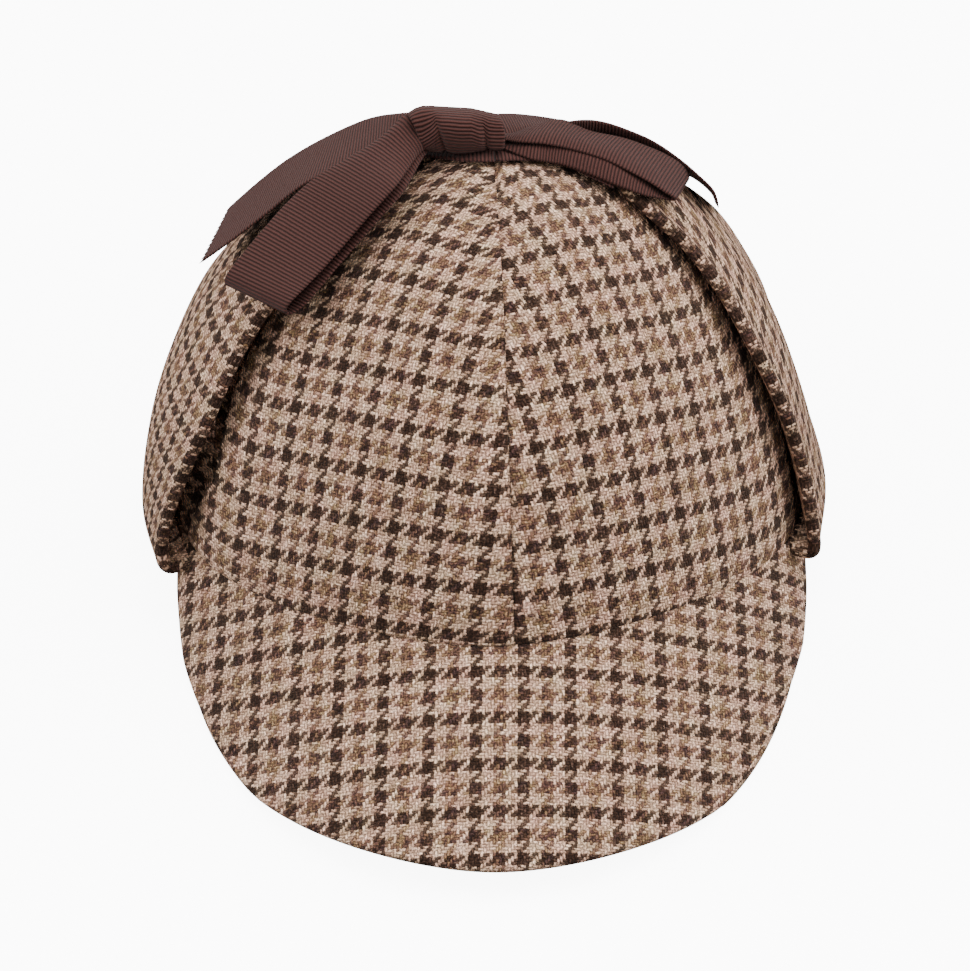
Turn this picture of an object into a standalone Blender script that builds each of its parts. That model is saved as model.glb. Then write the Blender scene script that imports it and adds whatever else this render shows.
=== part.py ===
"""A deerstalker hat with its ear flaps folded up and tied over the crown with a grosgrain ribbon.

Metres, +Z up, the front of the hat towards -Y. The origin lies on the surface that the hat rests
on, below the middle of the crown. An azimuth is an angle about +Z: 0 at the front, +90 degrees at +X.
"""

from math import cos, pi, radians, sin, sqrt

import bpy
from mathutils import Vector

MM = 0.001

# ---------------------------------------------------------------- driving dimensions
CROWN_HALF_WIDTH = 85.5 * MM        # outside, at the rim
CROWN_HALF_LENGTH = 101.0 * MM      # outside, at the rim
RIM_ROUNDNESS = 1.88                # exponent of the rim's oval, 2 being an ellipse
RIM_FRONT_HEIGHT = 42.6 * MM        # the rim above the resting surface, front and back
RIM_SIDE_DROP = 23.5 * MM           # how much lower the rim lies at the sides
CROWN_TOP = 128.4 * MM
CROWN_TURN = radians(3.3)           # the crown's seams against the middle of the peaks
CROWN_LEAN = 1.8 * MM               # the top of the crown leans this far to +X
CLOTH = 2.2 * MM                    # tweed and its interlining
PANEL_NAMES = ("front_right_panel", "back_right_panel", "back_left_panel", "front_left_panel")
PANEL_FLATNESS = 0.003              # how much a panel is flatter than the oval it follows
PANEL_TIP = 0.965                   # a panel ends just short of the top of the crown
SEAM_GAP = 0.4 * MM
PIECE_GAP = 0.3 * MM

PEAK_DEPTH = 55.9 * MM
PEAK_DROOP = radians(36.3)
PEAK_HALF_WIDTH = 84.8 * MM
PEAK_SKEW = 0.025                   # how much deeper a peak is at +X than in its middle
PEAK_THICKNESS = 3.0 * MM
PEAK_CORNER = 6.3                   # the larger, the squarer the peak's corners in its width
PEAK_BLUNTNESS = 3.4                # the larger, the squarer the peak's corners in its depth

FLAP_THICKNESS = 3.4 * MM
FOLD_RISE = 0.5 * MM                # the middle of a flap's fold above the rim
FOLD_START = 2.2 * MM               # the middle of the sewn edge, out from the rim

RIBBON_WIDTH = 25.0 * MM
RIBBON_THICKNESS = 1.0 * MM
KNOT_THICKNESS = 1.2 * MM

# The crown's profile from the rim to the top: its lean at the rim, and how far the lower and the
# upper half stay full before they turn over.
PROFILES = {
    #         lean in degrees, lower fullness, upper fullness
    "front": (20.0, 0.50, 0.52),
    "side": (4.6, 0.525, 0.377),
    "back": (20.0, 0.48, 0.22),
}

# Each flap from its fold up to its tip. Rise is measured along the crown's profile, stand-off from
# the crown to the middle of the flap, and the half angle is half of the flap's spread.
FLAPS = {
    "left_ear_flap": (-86.7, (
        # rise, stand-off in mm, how much more of it at the edges, half angle in degrees
        (0.000, 7.0, 0.0, 22.5),
        (0.060, 7.2, 0.0, 22.5),
        (0.150, 7.3, 0.0, 25.0),
        (0.260, 7.4, 0.0, 27.0),
        (0.360, 7.2, 0.0, 25.6),
        (0.460, 6.5, 0.0, 25.2),
        (0.550, 5.2, 0.0, 24.6),
        (0.630, 4.6, 0.0, 22.0),
        (0.690, 4.2, 0.0, 16.5),
        (0.715, 4.1, 0.0, 9.0),
    )),
    "right_ear_flap": (93.3, (
        (0.000, 5.6, 0.6, 27.5),
        (0.060, 3.6, 1.3, 26.2),
        (0.150, 2.2, 1.7, 24.8),
        (0.260, 2.1, 1.7, 23.6),
        (0.360, 2.1, 1.6, 21.6),
        (0.460, 2.3, 1.4, 18.8),
        (0.550, 2.6, 1.2, 17.4),
        (0.630, 2.8, 0.9, 18.0),
        (0.690, 3.0, 0.6, 14.0),
        (0.715, 3.2, 0.4, 8.0),
    )),
}

# Each ribbon's middle line over the crown, from the knot outwards, and back again in a loop. Lift
# is the height over the crown. A row across the ribbon points the way in which the azimuth grows:
# turn swings that end of it down the crown and tilt lifts it off the crown. Width is the part of
# the ribbon that lies open.
RIBBONS = {
    "left_tie": (
        # azimuth in degrees, rise, lift in mm, turn and tilt in degrees, width
        (-86.0, 0.985, 1.2, 0, 0, 0.84),
        (-86.5, 0.930, 1.3, 0, 0, 0.84),
        (-86.7, 0.850, 1.9, 0, 0, 0.84),
        (-86.7, 0.780, 2.8, 0, 0, 0.88),
        (-86.7, 0.728, 4.0, 0, 0, 0.92),
    ),
    "right_tie": (
        (94.0, 0.985, 1.2, 0, 0, 0.84),
        (93.5, 0.930, 1.2, 0, 0, 0.84),
        (93.3, 0.850, 1.4, 0, 0, 0.84),
        (93.3, 0.780, 2.0, 0, 0, 0.88),
        (93.3, 0.728, 3.0, 0, 0, 0.92),
    ),
    "left_loop": (
        (-71.4, 0.831, 11.2, 18, -22, 0.38),
        (-64.5, 0.806, 11.9, 0, -12, 0.56),
        (-62.0, 0.766, 12.5, -14, -6, 0.78),
        (-61.0, 0.700, 13.0, -18, -6, 1.00),
        (-60.4, 0.644, 13.5, -17, -8, 1.00),
        (-60.1, 0.588, 14.0, -17, -10, 1.00),
        (-60.0, 0.536, 14.5, -17, -10, 1.00),
        (-60.0, 0.498, 14.4, -18, -9, 1.00),
        (-60.1, 0.486, 12.8, -18, -9, 1.00),
        (-60.0, 0.498, 11.2, -18, -9, 1.00),
        (-60.0, 0.536, 10.6, -17, -9, 1.00),
        (-60.1, 0.620, 9.8, -17, -7, 1.00),
        (-60.8, 0.700, 9.4, -18, -5, 1.00),
        (-61.4, 0.766, 9.3, -14, -5, 0.74),
        (-65.0, 0.800, 9.4, 0, -12, 0.54),
        (-71.8, 0.825, 9.2, 18, -22, 0.38),
    ),
    "left_tail": (
        (-96.0, 0.833, 11.0, 0, -20, 0.30),
        (-99.5, 0.804, 10.4, -12, -12, 0.44),
        (-103.0, 0.764, 10.0, -14, -10, 0.62),
        (-105.4, 0.691, 9.8, -12, -4, 0.88),
        (-101.5, 0.614, 10.2, -7, 5, 1.00),
        (-100.1, 0.554, 11.4, -6, 5, 1.00),
        (-97.0, 0.500, 13.2, -3, 7, 1.00),
        (-94.7, 0.438, 15.0, 4, 9, 1.00),
    ),
    "right_loop": (
        (28.9, 0.945, 6.3, -53, -18, 0.38),
        (37.0, 0.917, 8.2, -44, -22, 0.50),
        (49.2, 0.887, 10.5, -30, -20, 0.68),
        (60.7, 0.840, 12.5, -13, -18, 0.90),
        (73.2, 0.783, 13.5, 4, -16, 1.00),
        (80.6, 0.714, 13.5, 12, -11, 1.00),
        (85.5, 0.658, 12.5, 16, -9, 1.00),
        (88.0, 0.628, 11.4, 18, -8, 1.00),
        (88.4, 0.618, 9.8, 18, -4, 1.00),
        (88.4, 0.632, 8.4, 18, 1, 1.00),
        (87.6, 0.660, 7.8, 17, 3, 1.00),
        (86.0, 0.710, 7.4, 15, 3, 1.00),
        (82.0, 0.765, 7.0, 11, 1, 0.96),
        (72.0, 0.818, 6.4, 2, -2, 0.80),
        (53.0, 0.872, 5.2, -18, -6, 0.54),
        (36.0, 0.920, 4.2, -44, -8, 0.42),
        (29.6, 0.943, 3.9, -53, -10, 0.38),
    ),
    "right_tail": (
        (109.8, 0.961, 6.2, 15, -10, 0.30),
        (121.4, 0.901, 6.2, 16, -10, 0.50),
        (124.0, 0.826, 6.2, 8, -16, 0.74),
        (120.5, 0.735, 7.7, 10, -20, 0.95),
        (117.7, 0.660, 8.6, 11, -19, 1.00),
        (115.6, 0.599, 9.5, 12, -15, 1.00),
        (113.5, 0.542, 9.5, 13, -12, 1.00),
        (111.0, 0.490, 9.2, 17, -9, 1.00),
    ),
}

# The knot's strip passes over the roots of the bow from front to back.
KNOT_MIDDLE = (-6.8, -0.8, 131.0)   # mm, of the line that its two ends lie on
KNOT_SIZE = (24.0, 17.0, 6.9)       # mm, across, front to back, and its height
KNOT_NARROWING = 0.12               # how much narrower its front end is

# Colours, as linear red, green and blue
TWEED = (0.36, 0.25, 0.18)
RIBBON_BROWN = (0.045, 0.018, 0.014)


# ---------------------------------------------------------------- helpers
def material(name, colour, roughness):
    """A Principled material of one colour."""
    result = bpy.data.materials.new(name)
    result.use_nodes = True
    shader = result.node_tree.nodes["Principled BSDF"]
    shader.inputs["Base Color"].default_value = (*colour, 1.0)
    shader.inputs["Roughness"].default_value = roughness
    shader.inputs["Metallic"].default_value = 0.0
    return result


def sheet_object(name, rows, collection, colour, roughness):
    """An open sheet through rows of points, all of the same length."""
    across = len(rows[0])
    faces = [
        (r * across + c, r * across + c + 1, (r + 1) * across + c + 1, (r + 1) * across + c)
        for r in range(len(rows) - 1)
        for c in range(across - 1)
    ]
    mesh = bpy.data.meshes.new(name)
    mesh.from_pydata([point for row in rows for point in row], [], faces)
    mesh.materials.append(material(name, colour, roughness))
    mesh.shade_smooth()
    result = bpy.data.objects.new(name, mesh)
    collection.objects.link(result)
    return result


def thicken(sheet, thickness, offset):
    """Give a sheet its thickness: offset -1 or 1 grows it to one side and 0 to both."""
    solidify = sheet.modifiers.new("Thickness", "SOLIDIFY")
    solidify.thickness = thickness
    solidify.offset = offset
    solidify.use_even_offset = True


def smooth_curve(rows, count):
    """Rows of numbers read from a smooth curve through the given rows, count to each step."""
    padded = [rows[0], *rows, rows[-1]]
    result = []
    for index in range(len(rows) - 1):
        before, start, end, after = padded[index:index + 4]
        for part in range(count):
            t = part / count
            result.append([
                0.5 * (2 * b + (c - a) * t + (2 * a - 5 * b + 4 * c - d) * t * t
                       + (3 * b - a - 3 * c + d) * t ** 3)
                for a, b, c, d in zip(before, start, end, after)
            ])
    result.append(list(rows[-1]))
    return result


# ---------------------------------------------------------------- crown
def rim_radius(azimuth):
    """Distance of the rim from the crown's axis."""
    width_share = abs(sin(azimuth) / CROWN_HALF_WIDTH) ** RIM_ROUNDNESS
    length_share = abs(cos(azimuth) / CROWN_HALF_LENGTH) ** RIM_ROUNDNESS
    return (width_share + length_share) ** (-1 / RIM_ROUNDNESS)


def rim_height(x):
    """Height of the rim at a distance x from the hat's middle plane."""
    return RIM_FRONT_HEIGHT - RIM_SIDE_DROP * min(abs(x) / CROWN_HALF_WIDTH, 1) ** 3


def crown_skin(azimuth, rise):
    """A point of the crown's outer side: rise is 0 at the rim and 1 at the top."""
    sideways = sin(azimuth) ** 2
    end = PROFILES["front"] if cos(azimuth) > 0 else PROFILES["back"]
    lean, lower, upper = (e + (s - e) * sideways for e, s in zip(end, PROFILES["side"]))
    radius = rim_radius(azimuth)
    bottom = rim_height(radius * sin(azimuth))
    height = CROWN_TOP - bottom
    radii = (
        radius,
        radius - lower * height * sin(radians(lean)),
        upper * radius,
        0.0,
    )
    heights = (bottom, bottom + lower * height * cos(radians(lean)), CROWN_TOP, CROWN_TOP)
    weights = ((1 - rise) ** 3, 3 * rise * (1 - rise) ** 2, 3 * rise ** 2 * (1 - rise), rise ** 3)
    out = sum(w * r for w, r in zip(weights, radii))
    out *= 1 + PANEL_FLATNESS * cos(4 * (azimuth - CROWN_TURN)) * sin(pi * min(rise, 1))
    lean_share = rise * rise * (3 - 2 * rise)
    return Vector((
        out * sin(azimuth) + CROWN_LEAN * lean_share,
        -out * cos(azimuth),
        sum(w * h for w, h in zip(weights, heights)),
    ))


def crown_frame(azimuth, rise):
    """Directions at a point of the crown: around it, down it and straight out of it."""
    step = 0.002
    rise = min(max(rise, step), PANEL_TIP)
    around = crown_skin(azimuth + step, rise) - crown_skin(azimuth - step, rise)
    upward = crown_skin(azimuth, rise + step) - crown_skin(azimuth, rise - step)
    out = around.cross(upward).normalized()
    around.normalize()
    return around, around.cross(out), out


def over_crown(azimuth, rise, lift):
    """A point at a height over the crown's outer side."""
    return crown_skin(azimuth, rise) + lift * crown_frame(azimuth, rise)[2]


def crown_panel(name, quarter, collection):
    """One of the crown's four gores, from seam to seam and from the rim to its tip."""
    across, up = 14, 12
    first = CROWN_TURN + quarter * pi / 2
    rows = []
    for r in range(up + 1):
        rise = PANEL_TIP * r / up
        point = crown_skin(first, rise)
        margin = 0.5 * SEAM_GAP / sqrt((point.x - CROWN_LEAN) ** 2 + point.y ** 2)
        spread = pi / 2 - 2 * margin
        rows.append([crown_skin(first + margin + spread * c / across, rise)
                     for c in range(across + 1)])
    panel = sheet_object(name, rows, collection, TWEED, 0.95)
    thicken(panel, CLOTH, -1)


# ---------------------------------------------------------------- peaks
def peak_point(x, share, front):
    """A point of a peak's upper side: share is 0 at the rim and 1 at its free edge."""
    along = min(abs(x) / CROWN_HALF_WIDTH, 1) ** RIM_ROUNDNESS
    rim = front * CROWN_HALF_LENGTH * (1 - along) ** (1 / RIM_ROUNDNESS)
    corner = min(abs(x) / PEAK_HALF_WIDTH, 1) ** PEAK_CORNER
    depth = PEAK_DEPTH * (1 - corner) ** (1 / PEAK_BLUNTNESS)
    depth *= 1 + PEAK_SKEW * x / PEAK_HALF_WIDTH
    start = Vector((x, rim, rim_height(x) - PIECE_GAP))
    return start + depth * share * Vector((0, front * cos(PEAK_DROOP), -sin(PEAK_DROOP)))


def peak(name, front, floor, collection):
    """A curved peak sewn below the rim: front is -1 for the front one and 1 for the back one."""
    across, out = 32, 5
    end = 0.994
    rows = []
    for r in range(out + 1):
        row = []
        for c in range(across + 1):
            x = PEAK_HALF_WIDTH * end * sin(0.5 * pi * (2 * c / across - 1))
            row.append(peak_point(-front * x, r / out, front))
        rows.append(row)
    result = sheet_object(name, rows, collection, TWEED, 0.95)
    thicken(result, PEAK_THICKNESS, 1)
    rest = result.modifiers.new("Pressed flat where it rests", "BOOLEAN")
    rest.operation = "DIFFERENCE"
    rest.solver = "EXACT"
    rest.object = floor


# ---------------------------------------------------------------- ear flaps
def flap(name, middle, sections, collection):
    """An ear flap: a fold at the rim, then up along the crown to a rounded tip."""
    across, fold_steps, steps = 10, 4, 2
    shares = [2 * c / across - 1 for c in range(across + 1)]
    rows = []
    for f in range(fold_steps):
        turn = pi * f / fold_steps
        rise, stand_off, flare, half_angle = sections[0]
        row = []
        for share in shares:
            azimuth = radians(middle + half_angle * share)
            fold_radius = 0.5 * ((stand_off + flare * share ** 2) * MM - FOLD_START)
            outward = Vector((sin(azimuth), -cos(azimuth), 0))
            row.append(crown_skin(azimuth, rise)
                       + outward * (FOLD_START + fold_radius * (1 - cos(turn)))
                       + Vector((0, 0, FOLD_RISE - fold_radius * sin(turn))))
        rows.append(row)
    for rise, stand_off, flare, half_angle in smooth_curve(sections, steps)[1:]:
        rows.append([
            over_crown(radians(middle + half_angle * share), rise,
                       (stand_off + flare * share ** 2) * MM)
            for share in shares
        ])
    result = sheet_object(name, rows, collection, TWEED, 0.95)
    thicken(result, FLAP_THICKNESS, 0)


# ---------------------------------------------------------------- ribbon
def ribbon(name, route, collection):
    """A stretch of ribbon that follows a route over the crown."""
    across, steps = 4, 3
    rows = []
    for azimuth, rise, lift, turn, tilt, width in smooth_curve(route, steps):
        around, down, out = crown_frame(radians(azimuth), rise)
        level = around * cos(radians(turn)) + down * sin(radians(turn))
        side = level * cos(radians(tilt)) + out * sin(radians(tilt))
        middle = over_crown(radians(azimuth), rise, lift * MM)
        half = 0.5 * RIBBON_WIDTH * width
        rows.append([middle + side * half * (2 * c / across - 1) for c in range(across + 1)])
    result = sheet_object(name, rows, collection, RIBBON_BROWN, 0.6)
    thicken(result, RIBBON_THICKNESS, 0)


def knot(collection):
    """The knot: a strip bent over the roots of the bow, a little narrower at its front."""
    across, over = 4, 12
    middle = Vector(KNOT_MIDDLE) * MM
    width, length, height = (size * MM for size in KNOT_SIZE)
    rows = []
    for r in range(over + 1):
        turn = pi * r / over
        narrowing = 1 - KNOT_NARROWING * max(cos(turn), 0)
        rows.append([
            middle + Vector((
                0.5 * width * narrowing * (2 * c / across - 1),
                -0.5 * length * cos(turn),
                height * sin(turn) ** 0.8,
            ))
            for c in range(across + 1)
        ])
    result = sheet_object("bow_knot", rows, collection, RIBBON_BROWN, 0.6)
    thicken(result, KNOT_THICKNESS, 0)


# ---------------------------------------------------------------- the hat
def resting_surface(collection):
    """A cutter below the hat: what would sink into the surface is pressed flat."""
    size = 0.5
    bpy.ops.mesh.primitive_cube_add(size=size, location=(0, 0, -0.5 * size))
    cutter = bpy.context.active_object
    cutter.name = "resting_surface"
    cutter.hide_render = True
    cutter.display_type = "WIRE"
    for owner in list(cutter.users_collection):
        owner.objects.unlink(cutter)
    collection.objects.link(cutter)
    return cutter


def main():
    for old in list(bpy.data.objects):
        bpy.data.objects.remove(old)
    hat = bpy.data.collections.new("deerstalker_hat")
    cutters = bpy.data.collections.new("cutters")
    bpy.context.scene.collection.children.link(hat)
    bpy.context.scene.collection.children.link(cutters)

    floor = resting_surface(cutters)
    for quarter, name in enumerate(PANEL_NAMES):
        crown_panel(name, quarter, hat)
    peak("front_peak", -1, floor, hat)
    peak("back_peak", 1, floor, hat)
    for name, (middle, sections) in FLAPS.items():
        flap(name, middle, sections, hat)
    for name, route in RIBBONS.items():
        ribbon(name, route, hat)
    knot(hat)


main()
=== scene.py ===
"""The looks of a deerstalker hat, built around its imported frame.

The hat is sewn from a gun-club check tweed: a crown of four gores, a front and a back peak, and
two ear flaps that are folded up and tied over the crown with a dark brown grosgrain ribbon. Every
piece here replaces the solid of the same name and carries its cloth's weave in a UV map. The crown
and the peaks follow the same named sizes as their solids, and the flaps and the bow follow theirs
with a closer fit. Metres, +Z up, the front of the hat towards -Y. An azimuth is an angle about +Z:
0 at the front, +90 degrees at +X.
"""

from math import cos, pi, radians, sin, sqrt

import bpy
import numpy as np
from mathutils import Matrix, Vector, noise


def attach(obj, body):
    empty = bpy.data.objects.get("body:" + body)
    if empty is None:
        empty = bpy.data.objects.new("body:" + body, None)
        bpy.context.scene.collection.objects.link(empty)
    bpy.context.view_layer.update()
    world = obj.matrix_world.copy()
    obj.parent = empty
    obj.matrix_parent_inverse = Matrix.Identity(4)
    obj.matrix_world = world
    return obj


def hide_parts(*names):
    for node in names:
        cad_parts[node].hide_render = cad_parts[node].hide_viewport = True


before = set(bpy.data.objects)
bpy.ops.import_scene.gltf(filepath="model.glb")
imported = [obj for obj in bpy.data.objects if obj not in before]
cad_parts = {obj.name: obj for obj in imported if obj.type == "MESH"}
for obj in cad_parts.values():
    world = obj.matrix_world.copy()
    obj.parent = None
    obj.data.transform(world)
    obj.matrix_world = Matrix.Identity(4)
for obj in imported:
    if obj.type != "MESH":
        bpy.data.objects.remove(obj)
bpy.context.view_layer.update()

MM = 0.001

# ---------- the hat's shape
CROWN_HALF_WIDTH = 85.5 * MM
CROWN_HALF_LENGTH = 101.0 * MM
RIM_ROUNDNESS = 1.88  # exponent of the rim's oval, 2 being an ellipse
RIM_FRONT_HEIGHT = 42.6 * MM
RIM_SIDE_DROP = 23.5 * MM
CROWN_TOP = 128.4 * MM
CROWN_TURN = radians(3.3)  # the crown's seams against the middle of the peaks
CROWN_LEAN = 1.8 * MM
CLOTH = 2.2 * MM
PANEL_NAMES = ("front_right_panel", "back_right_panel", "back_left_panel", "front_left_panel")
PANEL_FLATNESS = 0.003  # share by which a gore is flatter between its seams
PANEL_TIP = 0.965  # the rise at which the gores end at the top
SEAM_OVERLAP = 0.15 * MM  # how far two gores run into each other in their seam
SEAM_DEPTH = 1.0 * MM  # of the groove along a seam
SEAM_WIDTH = 0.75 * MM
PUCKER_DEPTH = 0.10 * MM  # of the ripples that a seam's stitches draw
PUCKER_REACH = 3 * MM
PUCKER_LENGTH = 1.15 * MM
PIECE_GAP = 0.3 * MM
PEAK_DEPTH = 55.9 * MM
PEAK_DROOP = radians(36.3)
PEAK_HALF_WIDTH = 84.8 * MM
PEAK_END = 0.994  # of that half width, where the cloth is turned in
PEAK_UNDER = 0.03  # of its depth, tucked in below the crown
PEAK_SKEW = 0.025
PEAK_THICKNESS = 3.0 * MM
PEAK_CORNER = 6.3
PEAK_BLUNTNESS = 3.4
FLAP_THICKNESS = 3.4 * MM
FOLD_RISE = 0.5 * MM
FOLD_START = 2.2 * MM
RIBBON_WIDTH = 25.0 * MM
RIBBON_THICKNESS = 0.7 * MM

RIM_CREASES = (
    # depth in mm and height in mm of the dips along the crown's rim, one within the other
    (1.8, 0.9),
    (0.5, 4.0),
)
RIM_CREASE_SHARE = 0.45  # of that depth beside the peaks, all of it at their middle
RIM_CREASE_SPREAD = 35 * MM

WAVES = {
    # how the cloth wanders: depth in mm, size in mm, and which stretch of the noise it follows
    "crown": (0.35, 26, 3.0),
    "peak": (0.30, 30, 11.0),
    "flap": (0.35, 24, 5.0),
}
CROWN_CALM = (8 * MM, 5 * MM)  # no waves at the rim and the seams, all of them this far off
FLAP_CALM = 12 * MM  # the same for a flap, from its fold
PEAK_CALM = 0.15  # and for a peak, of its depth

# How finely a piece is divided, across it and along it or between two rows of its table
CROWN_GRID = (110, 96)
CROWN_CROWDING = (0.55, 1.35)  # how much closer it is divided at the seams and at the rim
PEAK_GRID = (150, 56)
PEAK_CROWDING = (0.6, 1.5)  # the same at its two ends and at its free edge
FLAP_GRID = (90, 12)
FLAP_FOLD_STEPS = 22
FLAP_CROWDING = 0.65  # the same at its edges
TIE_GRID = (24, 12)
BOW_GRID = (72, 9)
KNOT_GRID = (96, 9)
SMALLEST = 1e-9  # a length that is divided by is at least this
MERGED = 1e-6  # points that lie closer together than this are joined

PROFILES = {
    #         lean in degrees, lower fullness, upper fullness
    "front": (20.0, 0.50, 0.52),
    "side": (4.6, 0.525, 0.377),
    "back": (20.0, 0.48, 0.22),
}

FLAPS = {
    # the azimuth of its middle in degrees, then a row for each section from the fold to the tip
    "left_ear_flap": (-86.7, (
        # rise, stand-off in mm, how much more of it at the front edge, half angle in degrees
        (0.000, 7.0, 1.6, 21.0),
        (0.060, 7.1, 1.8, 22.0),
        (0.150, 7.2, 1.0, 23.4),
        (0.260, 7.4, 0.3, 25.0),
        (0.360, 7.2, 0.0, 23.4),
        (0.460, 6.5, 0.0, 22.8),
        (0.550, 5.2, 0.0, 22.6),
        (0.630, 4.6, 0.0, 21.0),
        (0.690, 4.2, 0.0, 16.5),
        (0.715, 4.1, 0.0, 9.0),
    )),
    "right_ear_flap": (93.3, (
        (0.000, 3.8, 3.8, 28.2),
        (0.060, 2.2, 5.8, 28.0),
        (0.150, 1.8, 6.0, 26.3),
        (0.260, 2.4, 5.4, 25.6),
        (0.360, 3.1, 4.5, 24.6),
        (0.460, 3.2, 3.6, 21.2),
        (0.550, 3.0, 2.8, 18.8),
        (0.630, 2.7, 2.2, 18.0),
        (0.690, 2.7, 1.2, 14.0),
        (0.715, 2.8, 0.6, 8.0),
    )),
}
FLARE_POWER = 5  # how close to its edges a flap flares
BACK_FLARE = 0.5  # how much its back edge flares, as a share of the front one
FOLD_DEPTHS = {
    # how deep the fold hangs, for half of how wide it is
    "left_ear_flap": 1.55,
    "right_ear_flap": 1.0,
}
FOLD_TUCK = 1.4 * MM  # how far the fold runs in below the rim

# The crown falls back a little below the edges of the flaps, so that a dark gap opens there
HOLLOWS = {
    "left_ear_flap": (
        # rise, depth in mm, half angle in degrees at which it begins
        (0.000, 0.0, 17.0),
        (0.050, 1.5, 18.0),
        (0.085, 4.0, 19.6),
        (0.150, 4.5, 23.4),
        (0.195, 4.5, 21.8),
        (0.280, 4.2, 17.6),
        (0.320, 3.6, 16.0),
        (0.440, 0.0, 13.0),
    ),
    "right_ear_flap": (
        (0.000, 0.0, 19.0),
        (0.050, 1.0, 20.0),
        (0.090, 3.6, 20.2),
        (0.156, 4.8, 17.4),
        (0.210, 4.8, 14.6),
        (0.360, 3.6, 12.0),
        (0.520, 0.0, 9.0),
    ),
}
HOLLOW_TURN = 4.0  # degrees over which the crown turns into a hollow
HOLLOW_WIDTH = 15.0  # degrees from a hollow's beginning to its far side

TIES = {
    "left_tie": (
        # azimuth in degrees, rise, lift in mm, share of the ribbon's width
        (-86.0, 0.985, 1.2, 0.84),
        (-91.0, 0.930, 1.3, 0.74),
        (-99.0, 0.850, 1.9, 0.54),
        (-92.0, 0.780, 2.8, 0.72),
        (-86.7, 0.728, 4.0, 0.92),
    ),
    "right_tie": (
        (94.0, 0.985, 1.2, 0.84),
        (93.5, 0.930, 1.2, 0.76),
        (95.0, 0.850, 1.4, 0.70),
        (94.0, 0.780, 2.0, 0.80),
        (93.3, 0.728, 3.0, 0.92),
    ),
}

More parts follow.
